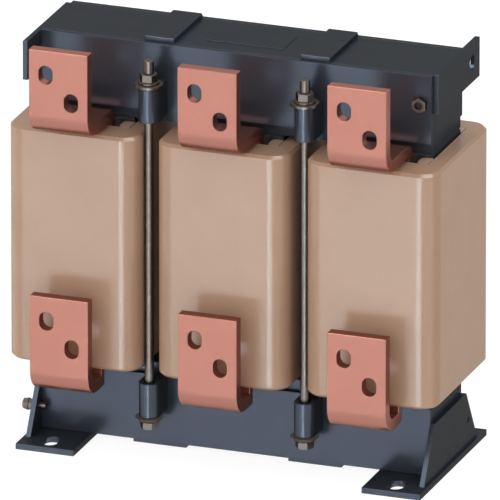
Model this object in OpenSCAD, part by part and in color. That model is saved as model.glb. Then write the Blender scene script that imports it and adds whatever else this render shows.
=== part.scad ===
// Three-phase line reactor: an iron core with three legs, a wrapped copper coil on
// each leg, bent copper terminals at the front, and a painted steel clamp frame that
// stands on two slotted feet and is lifted by two eyes.
// X runs along the yokes, Y from the terminals at the front to the back, Z is up.
// The origin is under the middle of the outline, on the floor.

/* [Core] */
// Width of each leg
leg_w = 95; // [70:1:120]
// Depth of the core stack, front to back
core_d = 80; // [60:1:110]
// Height of each yoke
yoke_h = 80; // [65:1:110]
// Clear height of the windows between the yokes
window_h = 249; // [215:1:320]
// Thickness of the gap plate at each end of a leg
gap_t = 1.8; // [1:0.1:4]
// How far a gap plate stays inside the edges of its leg
gap_inset = 0.8; // [0.5:0.1:3]

/* [Clamp frame] */
// Thickness of the clamp plates
clamp_t = 5; // [4:0.5:8]
// How far a clamp plate stays back from the window edge of its yoke
clamp_setback = 11; // [8:0.5:20]
// Height of the bosses that the tie rods pass through
boss_h = 35.5; // [25:0.5:45]
// Diameter of the round nose of a boss
boss_d = 20.5; // [16:0.5:24]
// Distance from a clamp plate to the axis of a tie rod
boss_reach = 23.8; // [20:0.2:32]
// How far a boss stands past the window edge of its clamp plate
boss_over = 1.5; // [0:0.5:3]
// Width of the pads on the top yoke
top_pad_w = 30; // [20:1:40]
// Thickness of the pads on the top yoke
top_pad_t = 5; // [3:0.5:8]
// Width of the pads under the bottom yoke
bottom_pad_w = 55; // [40:1:70]
// Clearance between the floor and the pads under the bottom yoke
pad_lift = 1; // [0.5:0.5:2.5]

/* [Tie rods] */
// Diameter of the plain shank
rod_d = 8.9; // [7:0.1:9.2]
// Outer diameter of the threaded end
rod_thread_d = 9.8; // [9.3:0.1:12]
// Gap between a tie rod and the coil outside it
rod_gap = 0.7; // [0.5:0.1:2]
// Width across flats of the nuts and heads
rod_hex = 16; // [14:0.5:18]
// Turn of the nuts and heads about the rods, in degrees
rod_hex_turn = 6; // [0:1:59]
// Height of the nuts
rod_nut_h = 8; // [6:0.5:10]
// Height of the heads
rod_head_h = 7.5; // [5:0.1:10]
// Length of thread past the nut
rod_over = 13; // [4:1:20]
// Outer diameter of the flat washers and of the wide end of the cone washers
washer_d = 28; // [22:0.5:32]
// Thickness of the flat washers
washer_t = 2.5; // [1.5:0.1:4]
// Outer diameter of the spring washers
spring_d = 20.5; // [17:0.5:22]
// Thickness of the spring washers
spring_t = 2.4; // [1.5:0.1:3]
// Height of the cone washers under the bottom bosses
cone_h = 4.6; // [3:0.1:8]
// Outer diameter of the narrow end of the cone washers
cone_d = 19; // [18:0.5:21]

/* [Yoke bolts] */
// Diameter of the bolts through the ends of the top yoke
yoke_bolt_d = 8; // [6:0.5:10]
// Width across flats of their nuts and heads
yoke_bolt_hex = 13.5; // [12:0.5:17]
// Turn of their nuts and heads, in degrees
yoke_hex_turn = 30; // [0:1:59]
// Height of their nuts
yoke_nut_h = 6.4; // [5:0.1:9]
// How far the bolts reach past the clamp plate into their nuts
yoke_bolt_end = 2.6; // [2:0.1:8]
// Height of their heads
yoke_head_h = 5.3; // [4:0.1:7]
// Distance from the end of the yoke
yoke_bolt_in = 11; // [9.5:0.5:20]
// Distance below the top of the yoke
yoke_bolt_down = 29; // [15:0.5:50]

/* [Lifting lugs] */
// Thickness of the lugs
lug_t = 5; // [4:0.5:8]
// Height of the lugs
lug_h = 40; // [28:1:60]
// How far the plain end of a lug stays back from the clamp plate's face
lug_inset = 6; // [2:0.5:20]
// How far the ear stands out past the clamp plate
lug_reach = 36; // [26:1:60]
// Diameter of the eye
eye_d = 15.5; // [10:0.5:20]
// Distance from the end of the ear to the middle of the eye
eye_in = 21; // [13:0.5:24]

/* [Feet] */
// Thickness of the foot plates
foot_t = 6; // [4:0.5:10]
// Width of the foot plates
foot_w = 60; // [45:1:80]
// Length of the foot plates, front to back
foot_l = 193; // [175:1:230]
// How far a foot plate shows outside its side plate
foot_lip = 3; // [1:0.5:10]
// Width of the bolt slots
foot_slot_w = 15.5; // [8:0.5:17]
// Length of the bolt slots
foot_slot_l = 24; // [18:0.5:30]
// Distance from the end of a foot plate to the middle of a slot
foot_slot_in = 18; // [17:0.5:20]
// Thickness of the side plates
side_t = 5; // [4:0.5:8]
// Height of the side plates
side_h = 54.5; // [45:0.5:65]
// How far a side plate stands out past the clamp plates at its top
side_over = 0.5; // [0:0.5:3]
// How far a side plate spreads from its top to its foot, on each side
side_flare = 30.9; // [25:0.1:40]

/* [Earth bolt] */
// Diameter of the bolt
earth_d = 6; // [5:0.5:8]
// Width across flats of its head and nut
earth_hex = 10; // [9.5:0.5:13]
// Height of its head
earth_head_h = 3.6; // [3:0.1:5]
// Height of its nut
earth_nut_h = 5; // [4:0.1:7]
// Outer diameter of its washer
earth_washer_d = 12; // [11:0.5:14]
// Thickness of its washer
earth_washer_t = 2.4; // [1:0.1:3]
// Length of thread past the inside of the side plate
earth_over = 7.2; // [3:0.2:12]
// Distance from the clamp plate's face to the middle of the bolt hole
earth_out = 6.7; // [6:0.1:10]
// Height of the bolt hole above the foot plate
earth_up = 25; // [15:0.5:32]

/* [Coils] */
// Clear space between neighbouring coils, where the tie rods stand
coil_space = 17.5; // [14:0.5:40]
// Thickness of a coil beside the leg
coil_side = 18; // [15:0.5:30]
// Thickness of a coil behind the leg
coil_back = 22.6; // [18:0.2:28]
// Thickness of the winding in front of the leg
winding_front = 17.4; // [12:0.2:24]
// Gap between a leg and the side of its coil former
leg_gap = 2; // [1:0.1:4]
// Depth of the air duct behind a leg
duct_back = 12.5; // [8:0.5:20]
// Gap between the end of a coil and the yoke
coil_gap = 4.5; // [3:0.5:8]
// Outer corner radius of a coil
coil_r = 19.4; // [14:0.2:24]
// Bevel on the top and bottom edges of a coil
coil_bevel = 2.8; // [1:0.2:3]
// Wall of the outer wrap
wrap_t = 3.5; // [3.2:0.1:5]
// Thickness of the insulation on the ends of the winding
wrap_end = 5; // [3:0.5:10]
// Wall of the former that the winding is wound on
former_t = 2; // [1:0.1:3]
// Inner corner radius of the former, which the spacer sticks stay clear of
former_r = 1; // [0.5:0.5:3]
// Width of the spacer sticks that hold the ducts open
stick_w = 11.5; // [8:0.5:14]
// Radius on the two edges of a stick that face the duct
stick_r = 5.5; // [1:0.5:5.5]

/* [Terminals] */
// Width of the copper bars
bar_w = 60; // [50:1:64]
// Thickness of the copper bars
bar_t = 12; // [8:0.5:14]
// Thickness of the lead bar that rises from a lower terminal into the coil
lead_t = 9; // [6:0.5:12]
// Distance from the front of a coil to the front of the flags
flag_reach = 33.7; // [30:0.1:60]
// Height of the upper flags, from under the bar to the top edge
upper_flag_h = 87.7; // [86:0.1:120]
// Height of the lower flags, from under the bar to the top edge
lower_flag_h = 100; // [86:0.5:140]
// Gap between the top of a coil and the bar of its upper terminal
upper_lift = 5.2; // [4:0.1:12]
// Distance from the bottom of a coil to the underside of its lower terminal
lower_drop = 19.2; // [16:0.1:21]
// Inner radius of the bend below a flag
flag_bend_r = 11; // [6:0.5:12]
// Inner radius of the bend where an upper terminal turns down into the duct
lead_bend_r = 5.4; // [3:0.1:8]
// Gap between the lead of an upper terminal and the clamp plate
lead_gap = 1.3; // [0.8:0.1:4]
// Distance from the lower end of an upper lead to the end of its coil
lead_end = 12; // [5:1:60]
// Width of the bolt slots in the flags
flag_slot_w = 14.5; // [10:0.5:16]
// Length of the bolt slots in the flags
flag_slot_l = 19; // [16.5:0.5:22]
// Distance between the two slots of a flag, across and down
flag_slot_step = 26; // [24:0.5:28]
// Distance from the top edge of a flag to the middle of its upper slot
flag_slot_down = 24.6; // [14:0.1:25]

/* [Rating plate] */
// Length of the bare plate on the top yoke
plate_l = 80; // [40:1:90]
// Width of the plate
plate_w = 39; // [20:1:50]
// Thickness of the plate
plate_t = 0.6; // [0.4:0.1:2]

/* [Fits] */
// Gap between the coil's inner pieces, and round a bar in its pocket
fit = 0.2; // [0.1:0.05:0.3]
// How much wider than its bolt a clearance hole is
bolt_play = 1; // [0.5:0.1:1.5]
// How much wider than its thread a nut or washer is bored
thread_play = 0.2; // [0.1:0.05:0.4]

/* [Hidden] */
$fn = 64;
phases = ["left", "middle", "right"];
sides = ["left", "right"];
faces = ["front", "back"];

// Colours
paint_colour = [0.25, 0.26, 0.28];
board_colour = [0.08, 0.08, 0.08];
tan_colour = [0.74, 0.64, 0.56];
copper_colour = [0.80, 0.55, 0.49];
steel_colour = [0.60, 0.57, 0.54];

// How far a cut runs past the faces that it goes through
overcut = 1;
// Nuts and heads: share of the width that stays flat on the ends, and slope of the turned corners
hex_land = 0.97;
hex_slope = 30;
// Slope of the split in a spring washer
split_slope = 45;

// Core: the legs stand as far apart as their coils and the space between these need
former_x = leg_w / 2 + leg_gap;
coil_w = 2 * (former_x + coil_side);
leg_pitch = coil_w + coil_space;
yoke_l = 2 * leg_pitch + leg_w;
yoke_z = foot_t;
window_z = yoke_z + yoke_h;
top_yoke_z = window_z + window_h;
core_top = top_yoke_z + yoke_h;
leg_h = window_h - 2 * gap_t;

// Clamp frame: half depths are measured from the middle of the core
clamp_h = yoke_h - clamp_setback;
clamp_y = core_d / 2 + clamp_t;
rod_y = clamp_y + boss_reach;
top_boss_z = top_yoke_z + clamp_setback - boss_over;
bottom_boss_z = window_z - clamp_setback + boss_over - boss_h;
bottom_pad_t = foot_t - pad_lift;
foot_x = yoke_l / 2 + side_t + foot_lip - foot_w / 2;
foot_slot_y = foot_l / 2 - foot_slot_in;
yoke_bolt_x = yoke_l / 2 - yoke_bolt_in;
yoke_bolt_z = core_top - yoke_bolt_down;
eye_y = clamp_y + lug_reach - eye_in;
earth_y = clamp_y + earth_out;
earth_z = foot_t + earth_up;

// Coils: the front duct is as deep as the upper lead needs to clear the clamp plate
duct_front = clamp_t + lead_gap + bar_t + fit;
former_front = core_d / 2 + duct_front;
former_rear = core_d / 2 + duct_back;
winding_in_front = former_front + former_t + fit;
lead_back = winding_in_front + winding_front;
coil_front_y = lead_back + lead_t + wrap_t;
coil_back_y = former_rear + coil_back;
coil_z = window_z + coil_gap;
coil_h = window_h - 2 * coil_gap;
winding_x = coil_w / 2 - wrap_t - fit;
winding_rear = coil_back_y - wrap_t - fit;
winding_r = coil_r - wrap_t - fit;
winding_h = coil_h - 2 * wrap_end;
tab_h = winding_h - 2 * lead_end;

// Tie rods stand in the gaps between the coils, close to the outer coil
rod_x = leg_pitch - coil_w / 2 - rod_gap - rod_d / 2;
rod_bore = rod_thread_d + thread_play;
rod_seat_z = top_boss_z + boss_h;
nut_z = rod_seat_z + washer_t + spring_t;
rod_top = nut_z + rod_nut_h + rod_over;
head_z = bottom_boss_z - cone_h;
rod_thread_z = top_boss_z + boss_h / 2;

// Terminals
flag_front = coil_front_y + flag_reach;
upper_z = coil_z + coil_h + upper_lift;
lower_z = coil_z - lower_drop;
upper_lead_front = former_front - fit;

// The outline reaches from the flags at the front to the feet at the back
core_y = (flag_front - foot_l / 2) / 2;

// Places

// Moves from the middle of the core to the origin under the middle of the outline.
module placed() translate([0, core_y, 0]) children();

// Moves to the leg of phase i, counted from the left.
module at_phase(i) translate([(i - 1) * leg_pitch, 0, 0]) children();

// Turns a piece modelled on the right end half a turn for the left end, i = 0.
module at_end(i) rotate([0, 0, i == 0 ? 180 : 0]) children();

// Turns a piece modelled on the front half a turn for the back, i = 1.
module at_face(i) rotate([0, 0, i == 0 ? 0 : 180]) children();

// Puts a copy at each of the four tie rods.
module at_rods() for (x = [-1, 1], y = [-1, 1]) translate([x * rod_x, y * rod_y, 0]) children();

// Shapes

// A block centred on X and Y, standing on Z = 0.
module block(size) translate([-size.x / 2, -size.y / 2, 0]) cube(size);

// Extrudes an outline drawn in Y and Z along X, centred on X = 0.
module along_x(length) translate([-length / 2, 0, 0]) rotate([90, 0, 90]) linear_extrude(length) children();

// Extrudes an outline drawn in X and Z along Y, from Y = 0 backwards.
module along_y(length) translate([0, length, 0]) rotate([90, 0, 0]) linear_extrude(length) children();

// A rectangle between two corners, with rounded corners.
module round_rect(low, high, r) {
    translate([low.x + r, low.y]) square([high.x - low.x - 2 * r, high.y - low.y]);
    translate([low.x, low.y + r]) square([high.x - low.x, high.y - low.y - 2 * r]);
    for (x = [low.x + r, high.x - r], y = [low.y + r, high.y - r]) translate([x, y]) circle(r);
}

// A slot of the given width and overall length that runs along Y, centred.
module slot(width, length) {
    square([width, length - width], center = true);
    for (y = [-1, 1]) translate([0, y * (length - width) / 2]) circle(d = width);
}

// A plain washer standing on Z = 0.
module ring(outer, bore, h) difference() {
    cylinder(d = outer, h = h);
    translate([0, 0, -overcut]) cylinder(d = bore, h = h + 2 * overcut);
}

// A hexagon with its corners turned off at both ends, standing on Z = 0.
module hex(flats, h) {
    corner = flats / cos(30) / 2;
    edge = flats * hex_land / 2;
    rise = (corner + fit - edge) * tan(hex_slope);
    intersection() {
        cylinder(r = corner, h = h, $fn = 6);
        rotate_extrude() polygon([[0, 0], [edge, 0], [corner + fit, rise],
            [corner + fit, h - rise], [edge, h], [0, h]]);
    }
}

// A quarter of a bent bar about the origin, from direction 180 degrees to 270 degrees.
module bend(inner, thick) intersection() {
    difference() {
        circle(inner + thick);
        circle(inner);
    }
    translate([-inner - thick, -inner - thick]) square(inner + thick);
}

// Core

module yoke() color(paint_colour) block([yoke_l, core_d, yoke_h]);

module bottom_yoke() translate([0, 0, yoke_z]) yoke();

module top_yoke() color(paint_colour) difference() {
    translate([0, 0, top_yoke_z]) yoke();
    yoke_bolt_holes();
}

module core_leg() color(paint_colour) translate([0, 0, window_z + gap_t]) block([leg_w, core_d, leg_h]);

module gap_plates(z) color(board_colour) for (i = [0 : 2]) at_phase(i)
    translate([0, 0, z]) block([leg_w - 2 * gap_inset, core_d - 2 * gap_inset, gap_t]);

// Clamp frame

module clamp_plate(z) translate([-yoke_l / 2, -clamp_y, z]) cube([yoke_l, clamp_t, clamp_h]);

module top_clamp() color(paint_colour) difference() {
    clamp_plate(core_top - clamp_h);
    yoke_bolt_holes();
}

module bottom_clamp() color(paint_colour) clamp_plate(yoke_z);

// A pair of bosses with round noses, welded to the front clamp plate.
module bosses(z) color(paint_colour) for (x = [-1, 1]) translate([x * rod_x, 0, z]) linear_extrude(boss_h)
    difference() {
        union() {
            translate([0, -rod_y]) circle(d = boss_d);
            translate([-boss_d / 2, -rod_y]) square([boss_d, boss_reach]);
        }
        translate([0, -rod_y]) circle(d = rod_thread_d + bolt_play);
    }

module pads(width, thick, z) color(paint_colour) for (x = [-1, 1])
    translate([x * rod_x, 0, z]) block([width, core_d, thick]);

module rating_plate() color(paint_colour) translate([0, 0, core_top]) block([plate_l, plate_w, plate_t]);

// A plate on the end of the top yoke, with an ear that carries the eye.
module lifting_lug() color(paint_colour) translate([yoke_l / 2 + lug_t / 2, 0, 0]) along_x(lug_t)
    difference() {
        translate([lug_inset - clamp_y, core_top - lug_h])
            square([2 * clamp_y - lug_inset + lug_reach, lug_h]);
        translate([eye_y, core_top - lug_h / 2]) circle(d = eye_d);
    }

// A plate that spreads downwards, between the end of the bottom yoke and the foot plate.
module side_plate() {
    top = clamp_y + side_over;
    base = top + side_flare;
    color(paint_colour) translate([yoke_l / 2 + side_t / 2, 0, foot_t]) along_x(side_t) difference() {
        polygon([[-base, 0], [base, 0], [top, side_h], [-top, side_h]]);
        translate([earth_y, earth_up]) circle(d = earth_d + thread_play);
    }
}

module foot_plate() color(paint_colour) linear_extrude(foot_t) difference() {
    translate([foot_x, 0]) square([foot_w, foot_l], center = true);
    for (y = [-1, 1]) translate([foot_x, y * foot_slot_y]) slot(foot_slot_w, foot_slot_l);
}

// Fasteners

module tie_rod(x, y) color(steel_colour) translate([x * rod_x, y * rod_y, 0]) {
    translate([0, 0, head_z - rod_head_h]) rotate(rod_hex_turn) hex(rod_hex, rod_head_h);
    translate([0, 0, head_z]) cylinder(d = rod_d, h = rod_thread_z - head_z);
    translate([0, 0, rod_thread_z]) cylinder(d = rod_thread_d, h = rod_top - rod_thread_z);
}

module rod_flat_washers() color(steel_colour) at_rods()
    translate([0, 0, rod_seat_z]) ring(washer_d, rod_bore, washer_t);

// Each ring is split, with the split turned towards the core.
module rod_spring_washers() color(steel_colour) for (x = [-1, 1], y = [-1, 1])
    translate([x * rod_x, y * rod_y, rod_seat_z + washer_t]) difference() {
        ring(spring_d, rod_bore, spring_t);
        translate([0, -y * spring_d / 2, spring_t / 2]) rotate([0, split_slope, 0])
            cube([spring_t, spring_d, 2 * spring_t / cos(split_slope) + 2 * overcut], center = true);
    }

module rod_nuts() color(steel_colour) at_rods() translate([0, 0, nut_z]) difference() {
    rotate(rod_hex_turn) hex(rod_hex, rod_nut_h);
    translate([0, 0, -overcut]) cylinder(d = rod_bore, h = rod_nut_h + 2 * overcut);
}

module rod_cone_washers() color(steel_colour) at_rods() translate([0, 0, head_z]) difference() {
    cylinder(d1 = cone_d, d2 = washer_d, h = cone_h);
    translate([0, 0, -overcut]) cylinder(d = rod_bore, h = cone_h + 2 * overcut);
}

// Puts a copy at each yoke bolt, with Z turned to point out of the front clamp plate.
module at_yoke_bolts(y) for (x = [-1, 1]) translate([x * yoke_bolt_x, y, yoke_bolt_z])
    rotate([90, 0, 0]) rotate(yoke_hex_turn) children();

module yoke_bolt_holes() at_yoke_bolts(clamp_y + overcut)
    cylinder(d = yoke_bolt_d + bolt_play, h = 2 * (clamp_y + overcut));

module yoke_bolts() color(steel_colour) at_yoke_bolts(clamp_y) {
    cylinder(d = yoke_bolt_d, h = 2 * clamp_y + yoke_bolt_end);
    translate([0, 0, -yoke_head_h]) hex(yoke_bolt_hex, yoke_head_h);
}

module yoke_nuts() color(steel_colour) at_yoke_bolts(-clamp_y) difference() {
    hex(yoke_bolt_hex, yoke_nut_h);
    translate([0, 0, -overcut]) cylinder(d = yoke_bolt_d + thread_play, h = yoke_nut_h + 2 * overcut);
}

// Moves to the outside of the left side plate, with Z pointing away from it.
module at_earth() translate([-yoke_l / 2 - side_t, -earth_y, earth_z]) rotate([0, -90, 0]) children();

module earth_bolt() color(steel_colour) at_earth() {
    translate([0, 0, -side_t - earth_over])
        cylinder(d = earth_d, h = side_t + earth_over + earth_nut_h + earth_washer_t);
    translate([0, 0, earth_nut_h + earth_washer_t]) hex(earth_hex, earth_head_h);
}

module earth_nut() color(steel_colour) at_earth() difference() {
    hex(earth_hex, earth_nut_h);
    translate([0, 0, -overcut]) cylinder(d = earth_d + thread_play, h = earth_nut_h + 2 * overcut);
}

module earth_washer() color(steel_colour) at_earth()
    translate([0, 0, earth_nut_h]) ring(earth_washer_d, earth_d + thread_play, earth_washer_t);

// Coils

// Outline of the former's wall, grown outwards by the given amount.
module former_outline(grow) round_rect([-former_x - grow, -former_front - grow],
    [former_x + grow, former_rear + grow], former_r + grow);

// Outline of the outside of the winding, grown outwards by the given amount.
module winding_outline(grow) round_rect([-winding_x - grow, -lead_back - grow],
    [winding_x + grow, winding_rear + grow], winding_r + grow);

// Half of a coil's upright section at the given distance from its middle plane, with bevelled edges.
module bevelled(half) polygon([[-half + coil_bevel, 0], [half - coil_bevel, 0], [half, coil_bevel],
    [half, coil_h - coil_bevel], [half - coil_bevel, coil_h], [-half + coil_bevel, coil_h],
    [-half, coil_h - coil_bevel], [-half, coil_bevel]]);

// The outside of a coil: upright round corners, and bevelled edges all round.
module coil_body() {
    depth = coil_front_y + coil_back_y;
    middle = (coil_back_y - coil_front_y) / 2;
    translate([0, middle, coil_z]) {
        along_x(coil_w - 2 * coil_r) bevelled(depth / 2);
        translate([0, coil_r - depth / 2, 0]) along_y(depth - 2 * coil_r) bevelled(coil_w / 2);
        for (x = [-1, 1], y = [-1, 1])
            translate([x * (coil_w / 2 - coil_r), y * (depth / 2 - coil_r), 0]) rotate_extrude()
                intersection() {
                    bevelled(coil_r);
                    square([coil_r, coil_h]);
                }
    }
}

// The wrap closes the outside and both ends, and has a pocket for the winding and the lead bar.
module coil_wrap() color(tan_colour) difference() {
    coil_body();
    translate([0, 0, coil_z - overcut]) linear_extrude(coil_h + 2 * overcut) former_outline(former_t + fit);
    translate([0, 0, coil_z + wrap_end]) linear_extrude(winding_h + fit) winding_outline(fit);
    translate([0, -lead_back - lead_t, coil_z - overcut])
        along_y(lead_t) translate([-bar_w / 2 - fit, 0])
            square([bar_w + 2 * fit, overcut + wrap_end + winding_h + fit]);
}

// The turns of the winding, with the strip that joins them to the upper lead.
module coil_winding() color(copper_colour) translate([0, 0, coil_z + wrap_end]) {
    linear_extrude(winding_h) difference() {
        winding_outline(0);
        former_outline(former_t + fit);
    }
    translate([-bar_w / 2 + fit, -winding_in_front - overcut, lead_end])
        cube([bar_w - 2 * fit, winding_in_front + overcut - upper_lead_front, tab_h]);
}

// The tube that the winding is wound on, with a window for the strip to the upper lead.
module coil_former() color(tan_colour) translate([0, 0, coil_z]) difference() {
    linear_extrude(coil_h) difference() {
        former_outline(former_t);
        former_outline(0);
    }
    translate([-bar_w / 2, -former_front - former_t - overcut, wrap_end + lead_end - fit])
        cube([bar_w, former_t + 2 * overcut, tab_h + 2 * fit]);
}

// One stick of a duct: it fills the duct from the leg to the former and is round towards the middle.
module duct_stick(depth) {
    outer = former_x - former_r;
    difference() {
        round_rect([outer - stick_w, 0], [outer + stick_r, depth], min(stick_r, depth / 2));
        translate([outer, -overcut]) square([stick_r + overcut, depth + 2 * overcut]);
    }
}

module duct_sticks() color(tan_colour) translate([0, 0, coil_z]) linear_extrude(coil_h)
    for (m = [0, 1]) mirror([m, 0]) {
        translate([0, core_d / 2]) duct_stick(duct_back);
        mirror([0, 1]) translate([0, core_d / 2]) duct_stick(duct_front);
    }

// Terminals

// The two bolt slots of a flag whose top edge is at the given height, cut from front to back.
module flag_slots(top) for (i = [0, 1])
    translate([(i - 0.5) * flag_slot_step, -flag_front - overcut, top - flag_slot_down - i * flag_slot_step])
        along_y(bar_t + 2 * overcut) slot(flag_slot_w, flag_slot_l);

// Side outline of a flag and the bend below it, drawn in Y and Z from the outer corner of the bend.
module flag_outline(height) {
    outer = flag_bend_r + bar_t;
    translate([0, outer]) square([bar_t, height - outer]);
    translate([outer, outer]) bend(flag_bend_r, bar_t);
}

// A bar that rises as a flag in front, runs back over the coil and turns down into the duct.
module upper_terminal() {
    outer = flag_bend_r + bar_t;
    turn = lead_bend_r + bar_t;
    back = flag_front - upper_lead_front + bar_t;
    drop = upper_lift + coil_h - wrap_end - lead_end;
    color(copper_colour) difference() {
        translate([0, -flag_front, upper_z]) along_x(bar_w) {
            flag_outline(upper_flag_h);
            translate([outer, 0]) square([back - outer - turn, bar_t]);
            translate([back - turn, bar_t - turn]) rotate(180) bend(lead_bend_r, bar_t);
            translate([back - bar_t, -drop]) square([bar_t, drop + bar_t - turn]);
        }
        flag_slots(upper_z + upper_flag_h);
    }
}

// A bar that rises as a flag in front and runs back under the coil.
module lower_terminal() {
    outer = flag_bend_r + bar_t;
    color(copper_colour) difference() {
        translate([0, -flag_front, lower_z]) along_x(bar_w) {
            flag_outline(lower_flag_h);
            translate([outer, 0]) square([flag_front - lead_back - outer, bar_t]);
        }
        flag_slots(lower_z + lower_flag_h);
    }
}

// A straight bar, brazed to the back of the lower terminal, that rises along the winding.
module lower_lead() color(copper_colour) translate([-bar_w / 2, -lead_back - lead_t, lower_z + bar_t])
    cube([bar_w, lead_t, coil_z + wrap_end + winding_h - lower_z - bar_t]);

// The object

placed() bottom_yoke();
placed() top_yoke();
placed() gap_plates(window_z);  // gap_plates_bottom
placed() gap_plates(top_yoke_z - gap_t);  // gap_plates_top
placed() pads(top_pad_w, top_pad_t, core_top);  // top_pads
placed() pads(bottom_pad_w, bottom_pad_t, pad_lift);  // bottom_pads
placed() rating_plate();
placed() rod_flat_washers();
placed() rod_spring_washers();
placed() rod_nuts();
placed() rod_cone_washers();
placed() yoke_bolts();
placed() yoke_nuts();
placed() earth_bolt();
placed() earth_nut();
placed() earth_washer();
for (i = [0 : 1]) {
    f = faces[i];
    placed() at_face(i) top_clamp();
    placed() at_face(i) bottom_clamp();
    placed() at_face(i) bosses(top_boss_z);
    placed() at_face(i) bosses(bottom_boss_z);
    for (j = [0 : 1])
        placed() tie_rod(2 * j - 1, 2 * i - 1);
}
for (i = [0 : 1]) {
    s = sides[i];
    placed() at_end(i) lifting_lug();
    placed() at_end(i) side_plate();
    placed() at_end(i) foot_plate();
}
for (i = [0 : 2]) {
    p = phases[i];
    placed() at_phase(i) core_leg();
    placed() at_phase(i) coil_wrap();
    placed() at_phase(i) coil_winding();
    placed() at_phase(i) coil_former();
    placed() at_phase(i) duct_sticks();
    placed() at_phase(i) upper_terminal();
    placed() at_phase(i) lower_terminal();
    placed() at_phase(i) lower_lead();
}
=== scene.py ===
"""Looks of the three-phase line reactor: soft edges, finishes, light and camera."""
import math

import bpy
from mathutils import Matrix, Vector

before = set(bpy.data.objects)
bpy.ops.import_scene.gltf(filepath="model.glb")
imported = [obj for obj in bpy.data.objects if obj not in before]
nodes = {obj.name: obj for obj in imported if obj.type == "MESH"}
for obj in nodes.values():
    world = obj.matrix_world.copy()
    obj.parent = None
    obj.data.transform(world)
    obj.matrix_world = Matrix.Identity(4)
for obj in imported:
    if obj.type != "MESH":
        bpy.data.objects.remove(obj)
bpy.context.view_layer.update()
scene = bpy.context.scene
MM = 0.001


# Node helpers

NOISE_LOW, NOISE_HIGH = 0.3, 0.7
PATCH_SHARE = 0.6


def link(tree, value, socket):
    """Sets a socket to a constant, or links it to another node's socket."""
    if isinstance(value, bpy.types.NodeSocket):
        tree.links.new(value, socket)
    else:
        socket.default_value = value


def add(tree, kind, output=0, settings=None, **inputs):
    """Adds a node and returns one of its outputs.

    Inputs are named as on the node, with _ for a space, or i0, i1 and so on by place.
    """
    node = tree.nodes.new(kind)
    for key, value in (settings or {}).items():
        setattr(node, key, value)
    for key, value in inputs.items():
        by_place = key[0] == "i" and key[1:].isdigit()
        link(tree, value, node.inputs[int(key[1:]) if by_place else key.replace("_", " ")])
    return node.outputs[output]


def math_node(tree, operation, a, b):
    return add(tree, "ShaderNodeMath", settings={"operation": operation}, i0=a, i1=b)


def spread(tree, value, low, high):
    """Maps a noise's middle range to low..high."""
    return add(tree, "ShaderNodeMapRange", Value=value, From_Min=NOISE_LOW,
               From_Max=NOISE_HIGH, To_Min=low, To_Max=high)


def colours(tree, factor, dark, light):
    """A colour between dark, at factor 0, and light, at factor 1."""
    return add(tree, "ShaderNodeMix", 2, {"data_type": "RGBA"}, Factor=factor,
               i6=(*dark, 1), i7=(*light, 1))


def noise(tree, cells, detail=3.0):
    """Noise with the given number of cells per metre along each axis of the part."""
    place = add(tree, "ShaderNodeTexCoord", "Object")
    scaled = add(tree, "ShaderNodeVectorMath", settings={"operation": "MULTIPLY"},
                 i0=place, i1=cells)
    return add(tree, "ShaderNodeTexNoise", Vector=scaled, Scale=1.0, Detail=detail,
               Roughness=0.55)


def material(name, dark, light, patches, grain, roughness, depth, **constants):
    """A finish that varies in soft patches, with a fine grain in its surface.

    Its colour lies between dark and light, its roughness in the given range. patches
    and grain are cells per metre, and depth is the grain's depth.
    """
    made = bpy.data.materials.new(name)
    made.use_nodes = True
    tree = made.node_tree
    shader = tree.nodes["Principled BSDF"]
    soft, fine = noise(tree, patches), noise(tree, grain, detail=2.0)
    mixed = math_node(tree, "ADD", math_node(tree, "MULTIPLY", soft, PATCH_SHARE),
                      math_node(tree, "MULTIPLY", fine, 1 - PATCH_SHARE))
    shade = colours(tree, spread(tree, mixed, 0, 1), dark, light)
    relief = add(tree, "ShaderNodeBump", Height=fine, Distance=depth, Strength=1.0)
    link(tree, shade, shader.inputs["Base Color"])
    link(tree, spread(tree, mixed, *roughness), shader.inputs["Roughness"])
    link(tree, relief, shader.inputs["Normal"])
    for key, value in constants.items():
        shader.inputs[key.replace("_", " ")].default_value = value
    return made


# Materials

PAINT_TINT, COPPER_TINT = (0.33, 0.28, 0.18, 1), (0.35, 0.38, 0.38, 1)
STEEL_TINT = (0.35, 0.3, 0.27, 1)
paint = material("frame_paint", (0.064, 0.077, 0.099), (0.073, 0.087, 0.111),
                 (40, 40, 40), (1400, 1400, 1400), (0.228, 0.234), 0.003 * MM,
                 Metallic=0.6, IOR=1.05, Specular_Tint=PAINT_TINT)
core = material("core_paint", (0.062, 0.075, 0.096), (0.075, 0.089, 0.114),
                (12, 220, 12), (8, 1900, 8), (0.23, 0.245), 0.005 * MM,
                Metallic=0.6, IOR=1.05, Specular_Tint=PAINT_TINT)
board = material("gap_board", (0.012, 0.011, 0.010), (0.022, 0.020, 0.018),
                 (40, 40, 40), (900, 900, 900), (0.55, 0.7), 0.05 * MM)
wrap = material("coil_wrap", (0.404, 0.255, 0.168), (0.438, 0.279, 0.189),
                (24, 24, 24), (1100, 1100, 1100), (0.205, 0.21), 0.001 * MM, IOR=1.13)
inner = material("coil_inner", (0.400, 0.270, 0.190), (0.470, 0.330, 0.240),
                 (60, 60, 60), (900, 900, 260), (0.42, 0.55), 0.02 * MM, IOR=1.3)
copper = material("copper", (0.412, 0.184, 0.146), (0.436, 0.196, 0.157),
                  (30, 30, 30), (900, 900, 900), (0.25, 0.26), 0.004 * MM,
                  Metallic=0.85, IOR=1.05, Specular_Tint=COPPER_TINT)
turns = material("copper_turns", (0.500, 0.210, 0.165), (0.600, 0.265, 0.212),
                 (30, 30, 30), (40, 40, 1200), (0.36, 0.5), 0.06 * MM, Metallic=1.0)
steel = material("plated_steel", (0.157, 0.141, 0.131), (0.175, 0.157, 0.147),
                 (80, 80, 80), (1500, 1500, 300), (0.32, 0.33), 0.001 * MM,
                 Metallic=1.0, Specular_Tint=STEEL_TINT)


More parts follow.
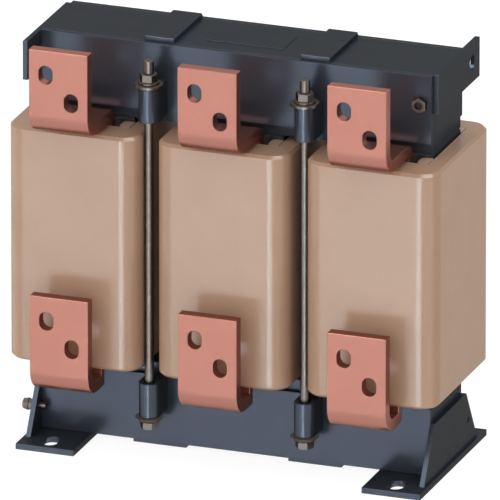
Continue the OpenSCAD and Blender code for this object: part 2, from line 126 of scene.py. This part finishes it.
# Finishes and soft edges of the solids: how names start, the finish, the edge in mm

FINISHES = [
    (("bottom_yoke", "top_yoke", "core_leg"), core, 0.3),
    (("gap_plates",), board, 0.2),
    (("coil_wrap",), wrap, 0.7),
    (("coil_former", "duct_sticks"), inner, 0.4),
    (("upper_terminal", "lower_terminal", "lower_lead"), copper, 0.5),
    (("coil_winding",), turns, 0.3),
    (("tie_rod", "rod_", "yoke_nuts", "earth_"), steel, 0.2),
    (("yoke_bolts", "rating_plate"), paint, 0.2),
    (("top_", "bottom_", "lifting_lug", "side_plate", "foot_plate"), paint, 0.7),
]
WELD = 0.005 * MM
FLAT_ANGLE, EDGE_ANGLE = math.radians(0.5), math.radians(24)


def soften(piece, width):
    """Joins the solid's faces and rounds its sharp edges a little."""
    weld = piece.modifiers.new("weld", "WELD")
    weld.merge_threshold = WELD
    flats = piece.modifiers.new("flats", "DECIMATE")
    flats.decimate_type = "DISSOLVE"
    flats.angle_limit = FLAT_ANGLE
    rounding = piece.modifiers.new("rounding", "BEVEL")
    rounding.width = width
    rounding.segments = 3
    rounding.limit_method = "ANGLE"
    rounding.angle_limit = EDGE_ANGLE
    normals = piece.modifiers.new("flat_faces", "WEIGHTED_NORMAL")
    normals.weight = 100


for name, piece in nodes.items():
    finish, edge = next((f, e) for starts, f, e in FINISHES if name.startswith(starts))
    piece.data.materials.clear()
    piece.data.materials.append(finish)
    soften(piece, edge * MM)


def finished(*looks):
    """The pieces with one of these finishes."""
    return [o for o in nodes.values() if o.data.materials[0] in looks]


# Floor and background

FLOOR = 30
FLOOR_DARK, FLOOR_LIGHT = (0.90, 0.90, 0.90), (0.92, 0.92, 0.92)
FLOOR_WHITE, WHITE_SHARE = 1.2, 0.75
LOW_SKY, HIGH_SKY = 0.43, 1.26


def seen(tree):
    """1 on rays that show the background: from the camera, a reflection or glass."""
    path = tree.nodes.new("ShaderNodeLightPath").outputs
    either = math_node(tree, "MAXIMUM", path["Is Camera Ray"], path["Is Glossy Ray"])
    return math_node(tree, "MAXIMUM", either, path["Is Transmission Ray"])


floor_mesh = bpy.data.meshes.new("floor")
corners = [(-FLOOR, -FLOOR, 0), (FLOOR, -FLOOR, 0), (FLOOR, FLOOR, 0), (-FLOOR, FLOOR, 0)]
floor_mesh.from_pydata(corners, [], [(0, 1, 2, 3)])
floor = bpy.data.objects.new("floor", floor_mesh)
scene.collection.objects.link(floor)

floor_look = bpy.data.materials.new("floor")
floor_look.use_nodes = True
tree = floor_look.node_tree
shader = tree.nodes["Principled BSDF"]
shader.inputs["Roughness"].default_value = 0.9
shader.inputs["Specular IOR Level"].default_value = 0.0
patches = spread(tree, noise(tree, (2, 2, 2)), 0, 1)
link(tree, colours(tree, patches, FLOOR_DARK, FLOOR_LIGHT), shader.inputs["Base Color"])
white = add(tree, "ShaderNodeEmission", Color=(1, 1, 1, 1), Strength=FLOOR_WHITE)
shown = math_node(tree, "MULTIPLY", seen(tree), WHITE_SHARE)
mixed = add(tree, "ShaderNodeMixShader", Fac=shown, i1=shader.outputs[0], i2=white)
link(tree, mixed, tree.nodes["Material Output"].inputs["Surface"])
floor_mesh.materials.append(floor_look)

world = bpy.data.worlds.new("studio")
scene.world = world
world.use_nodes = True
tree = world.node_tree
direction = add(tree, "ShaderNodeTexCoord", "Generated")
height = add(tree, "ShaderNodeSeparateXYZ", "Z", Vector=direction)
sky = add(tree, "ShaderNodeMapRange", Value=height, To_Min=LOW_SKY, To_Max=HIGH_SKY)
strength = add(tree, "ShaderNodeMapRange", Value=seen(tree), To_Min=sky, To_Max=1.0)
link(tree, (1, 1, 1, 1), tree.nodes["Background"].inputs["Color"])
link(tree, strength, tree.nodes["Background"].inputs["Strength"])


# Lamps

MIDDLE = 0.2
FAR = 12.0
WHITE, COOL = (1, 1, 1), (0.86, 0.93, 1.0)


def group_of(name, pieces):
    group = bpy.data.collections.new(name)
    for piece in pieces:
        group.objects.link(piece)
    return group


# Only the small bare plate stands in the way of the lamps that shine through the part.
part = group_of("part", nodes.values())
nothing = group_of("nothing", [nodes["rating_plate"]])


def softbox(name, place, width, height, power, colour, lit=None, blocked=True):
    """A rectangular lamp that faces the part and isn't seen itself.

    With lit it shows only in the gloss of those pieces.
    """
    lamp = bpy.data.lights.new(name, "AREA")
    lamp.shape = "RECTANGLE"
    lamp.size, lamp.size_y = width, height
    lamp.energy = power
    lamp.color = colour
    box = bpy.data.objects.new(name, lamp)
    box.location = place
    box.rotation_mode = "QUATERNION"
    aim = Vector((0, 0, MIDDLE)) - Vector(place)
    box.rotation_quaternion = aim.to_track_quat("-Z", "Y")
    box.visible_camera = False
    scene.collection.objects.link(box)
    if lit:
        box.visible_diffuse = False
        # The floor would stop mirrored rays on their way to a lamp below it.
        lamp.cycles.use_multiple_importance_sampling = place[2] > 0
        box.light_linking.receiver_collection = group_of(name, lit)
        box.light_linking.blocker_collection = part if blocked else nothing


def ahead(turn, drop):
    """A far place in front of the part, turned to its right and below its middle."""
    turn, drop = math.radians(turn), math.radians(drop)
    return FAR * math.sin(turn), -FAR * math.cos(turn), MIDDLE - FAR * math.tan(drop)


def sheen(name, turn, drop, width, height, strength, colour, lit, blocked=True):
    """A far lamp for gloss only, as bright as a white surface times its strength.

    turn and drop are in degrees, width and height are shares of its distance.
    """
    width, height = width * FAR, height * FAR
    power = strength * math.pi * width * height
    softbox(name, ahead(turn, drop), width, height, power, colour, lit, blocked)


bosses = [o for o in finished(paint) if "boss" in o.name]
plates = [o for o in finished(paint, core) if o not in bosses]
coils, flags, fasteners = finished(wrap), finished(copper), finished(steel)

softbox("key", (0.0, -3.0, 0.8), 2.4, 1.5, 17.5, WHITE)
sheen("coil_panel", -20, 20, 0.45, 0.53, 27.0, WHITE, coils)
sheen("coil_strip", 1, 20, 0.51, 0.40, 71.0, (0.80, 1, 1.08), coils)
sheen("coil_right", 50, 20, 1.36, 0.53, 10.5, WHITE, coils)
sheen("coil_left", -68, 20, 1.67, 0.53, 6.6, WHITE, coils)
sheen("coil_edges", 70, -62, 1.67, 1.33, 52.0, WHITE, coils)
sheen("metal_panel", -20, 20, 0.80, 0.60, 0.37, WHITE, finished(steel, copper))
sheen("paint_panel", -20, 20, 0.67, 0.53, 0.82, (0.93, 0.92, 1), finished(paint, core))
sheen("boss_strip", 2.6, 20, 0.27, 0.27, 6.5, COOL, bosses)
sheen("steel_strip", 12, 20, 0.30, 0.27, 5.4, WHITE, fasteners)
sheen("steel_top", 200, -20, 0.53, 0.40, 0.8, WHITE, fasteners, blocked=False)
sheen("copper_back", 200, 20, 0.80, 0.60, 1.5, (1, 0.82, 0.55), flags, blocked=False)
sheen("copper_rims", -43, -60, 1.67, 1.67, 4.0, WHITE, flags)
sheen("edges_top", -43, -60, 1.67, 1.67, 5.0, COOL, plates)
sheen("edges_right", 70, 20, 1.67, 1.33, 1.2, COOL, plates)


# Camera, almost in parallel view

AZIMUTH, ELEVATION = math.radians(20), math.radians(20)
LENS, SENSOR = 1700, 36
FRAME_WIDTH = 484.8 * MM
AIM_RIGHT, AIM_UP, AIM_BACK = -1.26 * MM, 186.2 * MM, 13.9 * MM

right = Vector((math.cos(AZIMUTH), math.sin(AZIMUTH), 0))
back = Vector((math.sin(AZIMUTH) * math.cos(ELEVATION),
               -math.cos(AZIMUTH) * math.cos(ELEVATION), math.sin(ELEVATION)))
up = back.cross(right)
aim = right * AIM_RIGHT + up * AIM_UP + Vector((0, AIM_BACK, 0))
camera = bpy.data.objects.new("camera", bpy.data.cameras.new("camera"))
camera.data.lens, camera.data.sensor_width = LENS, SENSOR
camera.data.clip_end = 100
camera.location = aim + back * (FRAME_WIDTH / SENSOR * LENS)
camera.rotation_mode = "QUATERNION"
camera.rotation_quaternion = (-back).to_track_quat("-Z", "Y")
scene.collection.objects.link(camera)
scene.camera = camera
scene.view_settings.view_transform = "Standard"
